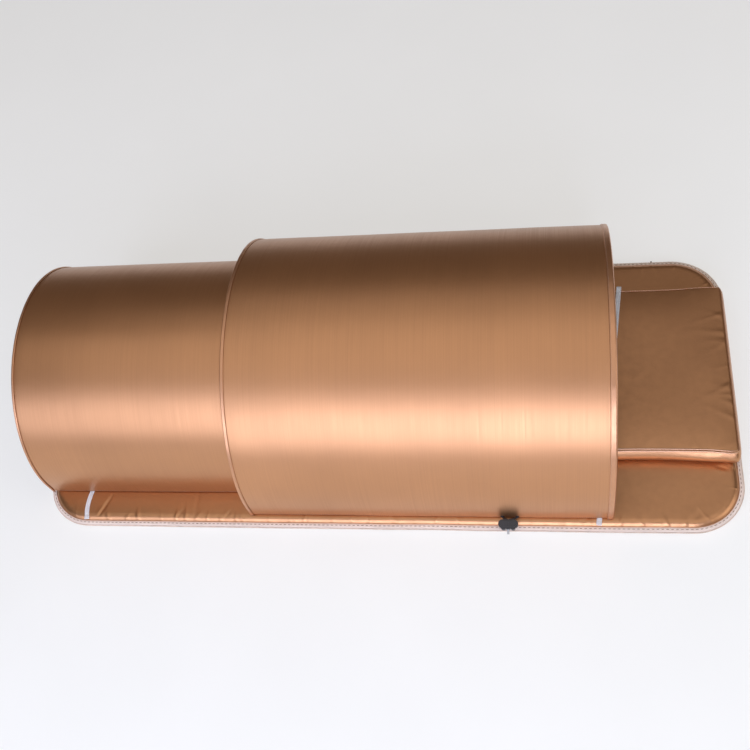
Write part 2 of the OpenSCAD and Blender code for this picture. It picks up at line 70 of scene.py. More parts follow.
# the camera, solved from the outlines of the mat and the shells
CAMERA_PLACE = (0.4479, -1.2287, 2.2863)
CAMERA_RIGHT = Vector((0.98348837, 0.07481128, -0.16478438))
CAMERA_UP = Vector((0.01544957, 0.87252276, 0.48832914))
CAMERA_LENS = 46.4
COOL = (0.93, 1.03, 1.36)
WHITE = (1.0, 1.0, 1.0)
LIGHTS = (  # name, place, what it aims at, size, how bright its face looks, colour
    ("key", (-1.0, -3.0, 1.40), (-0.6, 0.0, 0.3), (5.2, 1.8), 1.80, COOL),
    ("key_middle", (0.0, -3.05, 1.45), (0.0, 0.0, 0.3), (3.2, 1.7), 1.30, COOL),
    ("key_head", (0.7, -3.1, 1.5), (0.6, 0.0, 0.3), (1.6, 1.6), 0.75, COOL),
    ("key_upper", (-0.4, -2.75, 2.75), (-0.2, 0.0, 0.3), (5.0, 1.1), 1.25, COOL),
    ("overhead", (0.0, -0.70, 3.3), (0.0, -0.70, 0.0), (5.0, 2.6), 0.84, WHITE),
    ("far_overhead", (0.4, 1.45, 3.3), (0.4, 1.3, 0.0), (4.6, 1.8), 0.44, WHITE),
    ("side_head", (2.9, -0.9, 1.3), (0.8, -0.2, 0.05), (2.0, 2.0), 1.40, WHITE),
)


def add_camera():
    back = CAMERA_RIGHT.cross(CAMERA_UP)
    data = bpy.data.cameras.new("camera")
    data.sensor_width = 36.0
    data.lens = CAMERA_LENS
    data.clip_end = 50.0
    camera = bpy.data.objects.new("camera", data)
    bpy.context.scene.collection.objects.link(camera)
    turn = Matrix((CAMERA_RIGHT, CAMERA_UP, back)).transposed().to_4x4()
    camera.matrix_world = Matrix.Translation(CAMERA_PLACE) @ turn
    bpy.context.scene.camera = camera


def soft_light(name, place, aim, size, glow, colour):
    data = bpy.data.lights.new(name, "AREA")
    data.shape = "RECTANGLE"
    data.size, data.size_y = size
    data.energy = glow * math.pi * size[0] * size[1]
    data.color = colour
    light = bpy.data.objects.new(name, data)
    bpy.context.scene.collection.objects.link(light)
    light.location = place
    light.rotation_euler = (Vector(aim) - Vector(place)).to_track_quat("-Z", "Y").to_euler()


def set_stage():
    scene = bpy.context.scene
    scene.view_settings.view_transform = "Standard"
    world = bpy.data.worlds.new("studio")
    scene.world = world
    world.use_nodes = True
    tree = world.node_tree
    dim = tree.nodes["Background"]
    dim.inputs["Color"].default_value = (1.0, 0.80, 0.66, 1.0)
    dim.inputs["Strength"].default_value = 0.13
    # what stands behind the floor is as pale as the floor
    pale = tree.nodes.new("ShaderNodeBackground")
    pale.inputs["Color"].default_value = (0.84, 0.84, 0.84, 1.0)
    either = tree.nodes.new("ShaderNodeMixShader")
    path = tree.nodes.new("ShaderNodeLightPath")
    tree.links.new(path.outputs["Is Camera Ray"], either.inputs[0])
    tree.links.new(dim.outputs[0], either.inputs[1])
    tree.links.new(pale.outputs[0], either.inputs[2])
    tree.links.new(either.outputs[0], tree.nodes["World Output"].inputs["Surface"])
    for light in LIGHTS:
        soft_light(*light)


# ------------------------------------------------------------------ materials

class Look:
    """A node material being put together."""

    def __init__(self, name, roughness, **sockets):
        self.material = bpy.data.materials.new(name)
        self.material.use_nodes = True
        self.tree = self.material.node_tree
        self.shader = self.tree.nodes["Principled BSDF"]
        self.shader.inputs["Roughness"].default_value = roughness
        for socket, value in sockets.items():
            self.shader.inputs[socket.replace("_", " ")].default_value = value
        self.heights = []

    def node(self, kind, **settings):
        made = self.tree.nodes.new(kind)
        for key, value in settings.items():
            setattr(made, key, value)
        return made

    def feed(self, socket, value):
        if isinstance(value, bpy.types.NodeSocket):
            self.tree.links.new(value, socket)
        else:
            socket.default_value = value

    def coords(self, stretch=(1, 1, 1), uv=False):
        source = self.node("ShaderNodeTexCoord").outputs["UV" if uv else "Object"]
        mapping = self.node("ShaderNodeMapping")
        self.feed(mapping.inputs["Vector"], source)
        mapping.inputs["Scale"].default_value = stretch
        return mapping.outputs["Vector"]

    def noise(self, where, scale, detail=2.0):
        noise = self.node("ShaderNodeTexNoise")
        self.feed(noise.inputs["Vector"], where)
        noise.inputs["Scale"].default_value = scale
        noise.inputs["Detail"].default_value = detail
        return noise.outputs["Fac"]

    def cells(self, where, scale):
        cells = self.node("ShaderNodeTexVoronoi")
        self.feed(cells.inputs["Vector"], where)
        cells.inputs["Scale"].default_value = scale
        return cells.outputs["Distance"]

    def math(self, operation, a, b=0.0):
        node = self.node("ShaderNodeMath", operation=operation)
        self.feed(node.inputs[0], a)
        self.feed(node.inputs[1], b)
        return node.outputs[0]

    def spread(self, value, low, high, start=0.3, end=0.7):
        node = self.node("ShaderNodeMapRange")
        self.feed(node.inputs["Value"], value)
        for socket, limit in (("From Min", start), ("From Max", end), ("To Min", low), ("To Max", high)):
            node.inputs[socket].default_value = limit
        return node.outputs["Result"]

    def blend(self, share, one, other):
        node = self.node("ShaderNodeMix", data_type="RGBA")
        self.feed(node.inputs["Factor"], share)
        colour_a, colour_b = node.inputs[6], node.inputs[7]
        self.feed(colour_a, one)
        self.feed(colour_b, other)
        return node.outputs[2]

    def shades(self, value, colour, dark, light, *limits):
        """The colour, from a darker to a lighter shade of it as the value rises."""
        return self.blend(self.spread(value, 0.0, 1.0, *limits), shade(colour, dark), shade(colour, light))

    def weave(self, where, warp, weft):
        """A plain weave's height, from thread widths in metres."""
        parts = self.node("ShaderNodeSeparateXYZ")
        self.feed(parts.inputs[0], where)
        waves = [
            self.math("SINE", self.math("MULTIPLY", parts.outputs[i], math.pi / width))
            for i, width in enumerate((warp, weft))
        ]
        return self.math("MULTIPLY", *waves)

    def ribs(self, where, width, axis=0):
        parts = self.node("ShaderNodeSeparateXYZ")
        self.feed(parts.inputs[0], where)
        return self.math("SINE", self.math("MULTIPLY", parts.outputs[axis], math.pi / width))

    def relief(self, height, distance, strength=1.0):
        self.heights.append((height, distance, strength))

    def done(self, colour=None, roughness=None):
        if colour is not None:
            self.feed(self.shader.inputs["Base Color"], colour)
        if roughness is not None:
            self.feed(self.shader.inputs["Roughness"], roughness)
        normal = None
        for height, distance, strength in self.heights:
            bump = self.node("ShaderNodeBump")
            bump.inputs["Distance"].default_value = distance
            bump.inputs["Strength"].default_value = strength
            self.feed(bump.inputs["Height"], height)
            if normal is not None:
                self.feed(bump.inputs["Normal"], normal)
            normal = bump.outputs["Normal"]
        if normal is not None:
            self.feed(self.shader.inputs["Normal"], normal)
        return self.material


def shade(colour, factor):
    return tuple(min(1.0, c * factor) for c in colour[:3]) + (1.0,)


def metallic_pu(name, colour, streak=(1, 1, 1), roughness=0.37, soft=0.25):
    """Coated cloth with a copper metallic film: fine grain, faint brush lines and soft dents."""
    look = Look(name, roughness, Metallic=0.92, Coat_Weight=0.3, Coat_Roughness=0.32, Coat_IOR=1.65)
    place = look.coords()
    clouds = look.noise(place, 5.0, 3.0)
    lines = look.noise(look.coords(streak), 1.0, 4.0)
    tone = look.shades(clouds, colour, 0.95, 1.05)
    tone = look.blend(look.spread(lines, 0.0, 0.16), tone, shade(colour, 0.72))
    look.relief(look.noise(place, 11.0, 2.0), 0.0010, soft)
    look.relief(look.noise(place, 900.0, 2.0), 0.00012, 0.30)
    look.relief(look.cells(place, 1300.0), 0.00008, 0.25)
    return look.done(tone, look.spread(lines, roughness - 0.05, roughness + 0.06))


def cloth(name, colour, warp, weft, uv=True, roughness=0.85, depth=0.0003, sheen=0.3, weave_dip_shade=0.12):
    """Plain-woven cloth: its weave from thread widths in metres, painted shade in the weave's dips, a
    little soil and some fuzz.
    """
    look = Look(name, roughness, Sheen_Weight=sheen, Sheen_Roughness=0.5)
    place = look.coords(uv=uv)
    weave = look.weave(place, warp, weft)
    soil = look.noise(look.coords(), 14.0, 4.0)
    fuzz = look.noise(look.coords(), 1400.0, 2.0)
    tone = look.shades(soil, colour, 0.93, 1.05)
    # painted shade: the weave's dips, where its relief is lowest, are drawn part of the way to a much
    # darker shade of the colour
    tone = look.blend(look.spread(weave, weave_dip_shade, 0.0, -1.0, 1.0), tone, shade(colour, 0.45))
    look.relief(weave, depth, 0.8)
    look.relief(fuzz, 0.0002, 0.4)
    return look.done(tone, look.spread(fuzz, roughness - 0.08, min(1.0, roughness + 0.08)))


def plastic(name, colour, roughness=0.42, grain=1600.0):
    look = Look(name, roughness)
    place = look.coords()
    wear = look.noise(place, 60.0, 5.0)
    tone = look.shades(wear, colour, 0.9, 1.15)
    look.relief(look.noise(place, grain, 2.0), 0.00012, 0.35)
    return look.done(tone, look.spread(wear, roughness - 0.08, roughness + 0.1))


def metal(name, colour, streak=(30, 30, 900), roughness=0.32):
    look = Look(name, roughness, Metallic=1.0)
    lines = look.noise(look.coords(streak), 1.0, 4.0)
    wear = look.noise(look.coords(), 90.0, 4.0)
    tone = look.shades(wear, colour, 0.88, 1.08)
    look.relief(lines, 0.00006, 0.4)
    return look.done(tone, look.spread(lines, roughness - 0.08, roughness + 0.12))


def foam_look(name, colour):
    look = Look(name, 0.9, Subsurface_Weight=0.05)
    place = look.coords()
    pores = look.cells(place, 700.0)
    # painted shade: the cells' hollows, where the relief is lowest, are drawn darker than the cell walls
    tone = look.shades(pores, colour, 0.75, 1.0, 0.0, 0.6)
    look.relief(pores, 0.0006, 0.7)
    return look.done(tone, look.spread(look.noise(place, 40.0), 0.82, 0.95))


def film_look(name, colour):
    look = Look(name, 0.35)
    place = look.coords()
    print_lines = look.ribs(place, 0.004)
    ink = look.spread(print_lines, 0.0, 0.6, -1.0, 1.0)
    tone = look.blend(ink, shade(colour, 1.0), shade(colour, 3.0))
    look.relief(print_lines, 0.0001, 0.4)
    return look.done(tone, look.spread(look.noise(place, 50.0, 3.0), 0.28, 0.46))


def floor_look():
    look = Look("floor_paint", 0.9, Emission_Color=(1, 1, 1, 1), Emission_Strength=0.50)
    cloud = look.spread(look.noise(look.coords(), 3.0), 0.0, 1.0)
    return look.done(look.blend(cloud, (0.455, 0.45, 0.43, 1), (0.475, 0.47, 0.45, 1)))


GOLD = (0.54, 0.262, 0.118)
ARCH_STREAKS = (420, 3, 3)
M = {}


def make_materials():
    M.update(
        shell=metallic_pu("gold_pu_shell", GOLD, ARCH_STREAKS, 0.38, 0.08),
        mat=metallic_pu("gold_pu_mat", GOLD, (60, 60, 60), 0.34),
        pad=metallic_pu("gold_pu_pad", GOLD, (50, 50, 50), 0.35),
        binding=metallic_pu("binding_pu", (0.60, 0.30, 0.155), (300, 40, 40), 0.34),
        thread=cloth("thread", (0.36, 0.21, 0.125), 0.0005, 0.0008, False, 0.6, 0.0001),
        pale_thread=cloth("pale_thread", (0.80, 0.62, 0.50), 0.0005, 0.0008, False, 0.6, 0.0001),
        tape=cloth("zip_tape_cloth", (0.92, 0.75, 0.63), 0.0009, 0.0011),
        piping=metallic_pu("piping_pu", (0.68, 0.40, 0.25), (80, 80, 80), 0.33),
        teeth=plastic("zip_teeth_plastic", (0.78, 0.61, 0.49), 0.35),
        zip_metal=metal("zip_metal", (0.66, 0.63, 0.58)),
        webbing=cloth("white_webbing", (0.93, 0.93, 0.93), 0.0011, 0.0013, True, 0.7, 0.0005, 0.4, 0.2),
        lining=cloth("lining_weave", (0.16, 0.15, 0.145), 0.0010, 0.0010),
        underside=cloth("underside_weave", (0.10, 0.095, 0.09), 0.0012, 0.0012),
        foam=foam_look("foam_cells", (0.62, 0.62, 0.58)),
        board=foam_look("board_sheet", (0.80, 0.80, 0.77)),
        film=film_look("heater_print", (0.03, 0.03, 0.035)),
        copper=metal("copper_strip", (0.72, 0.40, 0.24), (900, 30, 30), 0.3),
        steel=metal("bow_steel", (0.58, 0.59, 0.61), (30, 300, 300), 0.34),
        black=plastic("black_plastic", (0.030, 0.028, 0.030), 0.38),
        rubber=plastic("lead_rubber", (0.024, 0.022, 0.022), 0.55, 2200.0),
        spigot=plastic("spigot_plastic", (0.52, 0.52, 0.51), 0.4),
        floor=floor_look(),
    )


SLOT_LOOKS = {
    "gold_pu": "mat", "binding_pu": "binding", "underside_cloth": "underside", "lining_cloth": "lining",
    "foam": "foam", "zip_tape": "tape", "zip_teeth": "teeth", "zip_metal": "zip_metal",
    "webbing": "webbing", "board": "board", "heater_film": "film", "copper": "copper",
    "spring_steel": "steel", "black_plastic": "black", "lead_rubber": "rubber", "spigot_grey": "spigot",
}


EASED_EDGES = {  # millimetres
    "connector_body": 1.2, "connector_lid": 0.5, "connector_collar": 0.4, "connector_spigot": 0.5,
    "connector_boots": 0.3, "lead_grommets": 0.4, "small_inlet": 0.5, "slider_body": 0.7, "pull_tab": 0.4,
    "zip_stops": 0.4,
}


def dress_cad_nodes():
    """Every CAD node gets its slot's material, and small hard ones also get eased edges."""
    for part in frame["record"]["subparts"]:
        node = NODES[part["node"]]
        node.data.materials.clear()
        node.data.materials.append(M[SLOT_LOOKS[part["material_slot"]]])
    for name, width in EASED_EDGES.items():
        bevel = NODES[name].modifiers.new("eased", "BEVEL")
        bevel.width = width * MM
        bevel.segments = 3
        bevel.limit_method = "ANGLE"
        bevel.angle_limit = math.radians(40)


# ------------------------------------------------------------------ mesh helpers

def shade_smooth(mesh):
    mesh.polygons.foreach_set("use_smooth", [True] * len(mesh.polygons))
    mesh.update()


def make_object(name, points, faces, corner_uvs=None, material=None, outward=True):
    mesh = bpy.data.meshes.new(name)
    mesh.from_pydata([tuple(p) for p in np.asarray(points, float)], [], faces)
    if corner_uvs is not None:
        layer = mesh.uv_layers.new(name="metres")
        layer.data.foreach_set("uv", np.asarray(corner_uvs, np.float32).ravel())
    if outward:
        work = bmesh.new()
        work.from_mesh(mesh)
        bmesh.ops.recalc_face_normals(work, faces=work.faces)
        work.to_mesh(mesh)
        work.free()
    if material is not None:
        mesh.materials.append(material)
    shade_smooth(mesh)
    made = bpy.data.objects.new(name, mesh)
    bpy.context.scene.collection.objects.link(made)
    return made


def lengths(points, loop=False):
    """Distance along a line of points, with one more entry when it closes."""
    line = np.vstack([points, points[:1]]) if loop else np.asarray(points)
    return np.concatenate([[0.0], np.cumsum(np.linalg.norm(np.diff(line, axis=0), axis=1))])


def lattice(name, grid, loop_rows=False, loop_columns=False, caps=False, material=None):
    """A surface through a grid of points (rows, columns, 3), with UVs in metres."""
    rows, columns = grid.shape[:2]
    u = lengths(grid[:, columns // 2], loop_rows)
    v = lengths(grid[rows // 2], loop_columns)
    i, j = np.meshgrid(
        np.arange(rows if loop_rows else rows - 1), np.arange(columns if loop_columns else columns - 1),
        indexing="ij",
    )
    i, j = i.ravel(), j.ravel()
    ni, nj = (i + 1) % rows, (j + 1) % columns
    faces = np.stack([i * columns + j, ni * columns + j, ni * columns + nj, i * columns + nj], 1)
    uvs = np.stack([
        np.stack([u[i], v[j]], 1), np.stack([u[i + 1], v[j]], 1),
        np.stack([u[i + 1], v[j + 1]], 1), np.stack([u[i], v[j + 1]], 1),
    ], 1)
    faces, uvs = faces.tolist(), uvs.reshape(-1, 2)
    if caps:
        for row in (0, rows - 1):
            faces.append([row * columns + k for k in range(columns)])
            uvs = np.vstack([uvs, np.stack([np.full(columns, u[row]), v[:columns]], 1)])
    return make_object(name, grid.reshape(-1, 3), faces, uvs, material)


def swept(places, across, up, profile):
    """Grid of points: the profile's (across, up) drawn at each place."""
    profile = np.broadcast_to(profile, (len(places),) + np.shape(profile)[-2:])
    return (
        places[:, None, :]
        + profile[..., 0, None] * across[:, None, :]
        + profile[..., 1, None] * up[:, None, :]
    )


def smooth_line(points, steps):
    """Catmull-Rom curve through a few points."""
    p = np.asarray(points, float)
    p = np.vstack([2 * p[0] - p[1], p, 2 * p[-1] - p[-2]])
    out = []
    for k in range(1, len(p) - 2):
        t = np.linspace(0, 1, steps, endpoint=False)[:, None]
        a, b, c, d = p[k - 1 : k + 3]
        square, cube = 2 * a - 5 * b + 4 * c - d, 3 * b - a - 3 * c + d
        out.append(0.5 * (2 * b + (c - a) * t + square * t**2 + cube * t**3))
    return np.vstack(out + [p[-2:-1]])


def thick(line, half):
    """Closed outline of a strip of cloth round its middle line, half its thickness each way."""
    way = np.gradient(line, axis=0)
    way /= np.linalg.norm(way, axis=1)[:, None]
    side = np.stack([-way[:, 1], way[:, 0]], 1) * half
    return np.vstack([line + side, (line - side)[::-1]])


def round_profile(radius, sides, centre):
    a = np.linspace(0, 2 * math.pi, sides, endpoint=False)
    return np.stack([centre[0] + radius * np.cos(a), centre[1] + radius * np.sin(a)], 1)


def wobble(a, b, seed, wave, count=7):
    """Smooth irregular field from about -1 to 1 over two coordinates."""
    draw = np.random.default_rng(seed)
    total = 0.0
    for _ in range(count):
        angle, phase = draw.uniform(0, 2 * math.pi, 2)
        k = 2 * math.pi / (wave * draw.uniform(0.6, 1.8))
        total = total + np.sin(k * (a * math.cos(angle) + b * math.sin(angle)) + phase)
    return total / math.sqrt(count) / 1.4


def stitches(name, places, ways, ups, length, radius, material):
    """A row of thread stitches, each a small tapered bead of thread."""
    sides = 6
    stations = np.array([-0.5, -0.34, 0.0, 0.34, 0.5]) * length
    widths = np.array([0.35, 0.9, 1.0, 0.9, 0.35]) * radius
    drops = np.array([-0.9, -0.1, 0.15, -0.1, -0.9]) * radius
    angle = np.linspace(0, 2 * math.pi, sides, endpoint=False)
    sideways = np.cross(ways, ups)
    ring = (
        places[:, None, None, :]
        + stations[None, :, None, None] * ways[:, None, None, :]
        + (drops[:, None] + widths[:, None] * np.sin(angle))[None, :, :, None] * ups[:, None, None, :]
        + (widths[:, None] * np.cos(angle))[None, :, :, None] * sideways[:, None, None, :]
    )
    each = len(stations) * sides
    one = []
    for s in range(len(stations) - 1):
        for k in range(sides):
            n = (k + 1) % sides
            one.append([s * sides + k, s * sides + n, (s + 1) * sides + n, (s + 1) * sides + k])
    ends = [list(range(sides)), list(range(each - sides, each))]
    faces = [[v + c * each for v in f] for c in range(len(places)) for f in one + ends]
    return make_object(name, ring.reshape(-1, 3), faces, None, material)


def along(points, ups, spacing, loop=False):
    """Evenly spaced places on a line, each with its direction and its up vector."""
    line = np.vstack([points, points[:1]]) if loop else points
    up_line = np.vstack([ups, ups[:1]]) if loop else ups
    run = lengths(line)
    count = int(run[-1] / spacing)
    at = (np.arange(count) + 0.5) * run[-1] / count

    def sample(where, values):
        return np.stack([np.interp(where, run, values[:, k]) for k in range(3)], 1)

    way = sample(at + 0.001, line) - sample(at - 0.001, line)
    way /= np.linalg.norm(way, axis=1)[:, None]
    up = sample(at, up_line)
    up -= (up * way).sum(1)[:, None] * way
    up /= np.linalg.norm(up, axis=1)[:, None]
    return sample(at, line), way, up


def finish_piece(piece, body, slot, *replaced):
    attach(piece, body)
    if replaced:
        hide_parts(*replaced)


# ------------------------------------------------------------------ mat

mat_lo, mat_hi = box("zip_coil")
MAT_HALF = (mat_hi - mat_lo)[:2] / 2
MAT_TOP = box("mat_top_cover")[1][2]
MAT_MIDDLE = (box("zip_coil")[0][2] + box("zip_coil")[1][2]) / 2


def mat_outline(step):
    """Places round the mat's outer edge with their outward directions, from the near side's middle."""
    hx, hy = MAT_HALF - MAT_CORNER
    r = MAT_CORNER
    places, ways = [], []
    quarter = math.pi / 2
    stops = np.array([(0, -hy), (hx, -hy), (hx, hy), (-hx, hy), (-hx, -hy), (0, -hy)])
    for k, (a, b) in enumerate(zip(stops, stops[1:])):
        out = (k % 4 - 1) * quarter
        normal = np.array([math.cos(out), math.sin(out)])
        n = max(2, round(np.linalg.norm(b - a) / step))
        for t in np.arange(n) / n:
            places.append(a + (b - a) * t + r * normal)
            ways.append(normal)
        if k < 4:
            m = round(quarter * r / step)
            for t in np.arange(m) / m:
                normal = np.array([math.cos(out + t * quarter), math.sin(out + t * quarter)])
                places.append(b + r * normal)
                ways.append(normal)
    return np.array(places), np.array(ways)


def flat3(points, z=0.0):
    return np.column_stack([points, np.full(len(points), z)])


def edge_wave(run):
    """How far the sewn edge wanders in and out along the mat."""
    return 0.0005 * wobble(run, 0 * run, 11, 0.16)


def puckers(run, inset, total):
    """Gathers in the mat's cover where it is sewn to the zip tape."""
    draw = np.random.default_rng(5)
    height = np.zeros(np.broadcast(run, inset).shape)
    at = 0.0
    depth = np.maximum(inset - SEAM_INSET, 0)
    while at < total:
        at += draw.uniform(0.014, 0.075)
        width = draw.uniform(0.0030, 0.0075)
        reach = draw.uniform(0.008, 0.030)
        tall = draw.uniform(0.8, 2.7) * MM
        slant = draw.uniform(-0.7, 0.7)
        away = (run - at - slant * depth + total / 2) % total - total / 2
        shape = np.exp(-((away / width) ** 2)) * np.cos(1.6 * away / width)
        height += tall * shape * np.exp(-((depth / reach) ** 1.5)) * np.minimum(1, depth / 0.004 + 0.25)
    return height


CREASES = [  # across the mat: where a fold or a pucker line starts and ends, its width and depth
    ((-0.741, -0.374), (-0.712, -0.312), 0.0030, 2.0 * MM),
    ((-0.520, -0.376), (-0.506, -0.350), 0.0028, 0.6 * MM),
    ((-0.472, -0.372), (-0.470, -0.030), 0.0048, 0.9 * MM),
    ((-0.470, 0.030), (-0.468, 0.372), 0.0048, 0.9 * MM),
    ((-0.392, -0.378), (-0.376, -0.354), 0.0030, 0.8 * MM),
    ((0.515, -0.376), (0.536, -0.354), 0.0034, 1.0 * MM),
    ((0.770, -0.372), (0.790, -0.340), 0.0060, 0.8 * MM),
    ((0.012, -0.372), (0.010, -0.030), 0.0048, 0.6 * MM),
    ((0.010, 0.030), (0.008, 0.372), 0.0048, 0.6 * MM),
    ((0.862, -0.235), (0.835, -0.225), 0.0040, 1.2 * MM),
    ((0.868, -0.205), (0.838, -0.212), 0.0040, 1.0 * MM),
]


def creases(x, y):
    drop = np.zeros(np.shape(x))
    for (ax, ay), (bx, by), width, deep in CREASES:
        length = math.hypot(bx - ax, by - ay)
        ux, uy = (bx - ax) / length, (by - ay) / length
        t = ((x - ax) * ux + (y - ay) * uy) / length
        off = (x - ax) * -uy + (y - ay) * ux
        fade = np.clip(1 - np.abs(t - 0.5) * 2, 0, 1) ** 0.5
        groove = np.exp(-((off / width) ** 2))
        bank = 0.45 * np.exp(-(((off - 2.2 * width) / (1.6 * width)) ** 2))
        drop -= deep * (groove - bank) * fade
    return drop


ROLL = np.array([  # the cover's rounded rim: inset from the mat's edge and height, millimetres
    (13.0, 19.8), (14.8, 22.4), (17.2, 24.9), (20.2, 27.2), (24.2, 29.0), (30.0, 29.9), (42.0, 30.0),
]) * MM
QUILT_SIDE = [  # behind the zip and under the filling, in the same way
    (13.4, 18.6), (14.2, 15.0), (13.7, 8.0), (15.0, 3.6), (19.0, 2.1), (60.0, 1.6), (126.0, 1.6),
]


MAT_STEPS = 240               # from the middle of a long side to the start of its corner


def make_mat():
    places, ways = mat_outline((MAT_HALF[0] - MAT_CORNER) / MAT_STEPS)
    run = lengths(places, True)
    total = run[-1]
    run = run[:-1]
    roll_steps = np.linspace(0, len(ROLL) - 1, 19)
    insets = np.concatenate([
        np.interp(roll_steps, np.arange(len(ROLL)), ROLL[:, 0]),
        np.linspace(0.047, MAT_CORNER - 0.002, 13),
    ])
    rings = [places - inset * ways for inset in insets]
    # inside its corners the mat's rings shrink to a narrow slot along its middle
    last = rings[-1]
    hx = MAT_HALF[0] - MAT_HALF[1]
    spine = np.stack([np.clip(last[:, 0], -hx, hx), 0 * last[:, 1]], 1)
    for t in np.linspace(0, 0.995, 20)[1:]:
        rings.append(last + (spine - last) * t)
        insets = np.append(insets, insets[-1] + 0.013)
    grid = np.stack(rings, 1)
    z = np.interp(insets, ROLL[:, 0], ROLL[:, 1])[None, :]
    x, y = grid[..., 0], grid[..., 1]
    corner = np.clip((np.abs(x) - 0.77) / 0.05, 0, 1) * np.clip((np.abs(y) - 0.30) / 0.03, 0, 1)
    lift = puckers(run[:, None], insets[None, :], total) * (1 - 0.75 * corner)
    soft = np.clip((insets - 0.02) / 0.06, 0, 1)[None, :]
    lift += soft * (0.0006 * wobble(x, y, 21, 0.22) - 0.0007)
    lift += creases(x, y) * np.clip((insets - SEAM_INSET) / 0.003, 0, 1)
    highest = np.where(insets < 0.045, 0.0010, 0.0)
    lift = np.minimum(lift, highest[None, :])
    shift = edge_wave(run)[:, None] * np.exp(-insets / 0.02)[None, :]
    x = x + shift * ways[:, 0][:, None]
    y = y + shift * ways[:, 1][:, None]
    top = np.stack([x, y, z + lift], 2)
    side = [flat3(places - inset * MM * ways, height * MM) for inset, height in QUILT_SIDE]
    grid3 = np.concatenate([np.stack(side[::-1], 1), top], 1)
    quilt = lattice("mat_quilt", grid3, loop_rows=True, material=M["mat"])
    rows, columns = grid3.shape[:2]
    slot = [(i, i + 1, rows // 2 - i - 1, rows // 2 - i) for i in range(-(rows // 4), rows // 4)]
    close_rings(quilt, rows, columns, (0, [range(rows)]), (columns - 1, slot))
    finish_piece(quilt, "mat", "gold_pu", "mat_top_cover", "mat_foam")
    return quilt


def close_rings(piece, rows, columns, *closings):
    """Adds faces over a looped surface's rings, each closing a column and its faces' rows."""
    work = bmesh.new()
    work.from_mesh(piece.data)
    work.verts.ensure_lookup_table()
    for column, faces in closings:
        for corners in faces:
            work.faces.new([work.verts[k % rows * columns + column] for k in corners])
    bmesh.ops.triangulate(work, faces=[f for f in work.faces if len(f.verts) > 4])
    bmesh.ops.recalc_face_normals(work, faces=work.faces)
    work.to_mesh(piece.data)
    work.free()
    shade_smooth(piece.data)


UNDERSIDE = [  # inset from the mat's edge and height, millimetres
    (13.2, 4.4), (12.9, 3.2), (14.4, 1.9), (18.0, 0.7), (24.0, 0.15), (60.0, 0.0), (127.0, 0.0),
]


def make_underside():
    places, ways = mat_outline(0.012)
    rings = [flat3(places - inset * MM * ways, z * MM) for inset, z in UNDERSIDE]
    sheet = lattice("mat_underside", np.stack(rings, 1), loop_rows=True, material=M["underside"])
    rows, columns = len(places), len(UNDERSIDE)
    close_rings(sheet, rows, columns, (columns - 1, [range(rows)]))
    thickness = sheet.modifiers.new("cloth", "SOLIDIFY")
    thickness.thickness = 0.0009
    thickness.offset = -1.0
    finish_piece(sheet, "mat", "underside_cloth", "mat_bottom_cover")


TAPES = {  # the tapes' middle lines: inset from the mat's edge and height, millimetres
    "upper": [(14.6, 18.8), (12.6, 20.0), (10.5, 20.1), (7.5, 19.6), (5.0, 18.7), (3.4, 17.7), (2.8, 16.6)],
    "lower": [(2.7, 13.6), (3.1, 12.2), (5.0, 10.0), (8.0, 7.2), (11.0, 5.2), (13.4, 4.2), (15.0, 3.8)],
}
TOOTH_PITCH = 0.0036
TAPE_HALF = 0.55 * MM         # half the thickness of the tapes and of the shells' bindings


def make_zip():
    places, ways = mat_outline(0.004)
    run = lengths(places, True)[:-1]
    # straight on the far side, where the slider runs
    wave = edge_wave(run) * (places[:, 1] < MAT_HALF[1] - 0.05)
    base = flat3(places + wave[:, None] * ways)
    out = flat3(ways)
    up = np.tile(Z, (len(base), 1))
    for side, points in TAPES.items():
        line = smooth_line([(-inset * MM, height * MM) for inset, height in points], 3)
        outline = thick(line, TAPE_HALF)
        band = lattice("zip_band_" + side, swept(base, out, up, outline), True, True, material=M["tape"])
        finish_piece(band, "mat", "zip_tape", "zip_tape_" + side)
    for name, inset, height in (("mat_edge_piping", 12.9, 20.9), ("mat_lower_piping", 13.2, 4.6)):
        outline = round_profile(0.85 * MM, 10, (-inset * MM, height * MM))
        rope = lattice(name, swept(base, out, up, outline), True, True, material=M["piping"])
        finish_piece(rope, "mat", "gold_pu")
    # topstitching along the upper tape, and the teeth
    seam = base - 0.0084 * out + 0.0204 * up
    place, way, lift = along(seam, up * 0.75 + out * 0.65, 0.0112, loop=True)
    row = stitches("zip_band_stitches", place, way, lift, 0.0072, 0.00085, M["thread"])
    finish_piece(row, "mat", "zip_tape")
    place, way, lift = along(base - 0.0014 * out + MAT_MIDDLE * up, out, TOOTH_PITCH, loop=True)
    upper = tooth_row(place, way, lift, 1)
    lower = tooth_row(place + way * TOOTH_PITCH / 2, way, lift, -1)
    points = np.concatenate([upper, lower])
    each = points.shape[1]
    faces = [[v + c * each for v in f] for c in range(len(points)) for f in TOOTH_FACES]
    teeth = make_object("zip_teeth", points.reshape(-1, 3), faces, None, M["teeth"])
    finish_piece(teeth, "mat", "zip_teeth", "zip_coil")


TOOTH_SHAPE = np.array([  # along, out, up: a hooked tooth, its root in the tape
    (-0.62, -1.2, 3.0), (0.62, -1.2, 3.0), (0.62, 0.7, 3.0), (-0.62, 0.7, 3.0),
    (-0.70, -1.2, 1.2), (0.70, -1.2, 1.2), (0.70, 1.25, 1.2), (-0.70, 1.25, 1.2),
    (-0.55, -1.0, -1.5), (0.55, -1.0, -1.5), (0.55, 0.9, -1.5), (-0.55, 0.9, -1.5),
]) * MM
TOOTH_FACES = [
    [0, 1, 2, 3], [8, 9, 10, 11],
    [0, 1, 5, 4], [1, 2, 6, 5], [2, 3, 7, 6], [3, 0, 4, 7],
    [4, 5, 9, 8], [5, 6, 10, 9], [6, 7, 11, 10], [7, 4, 8, 11],
]


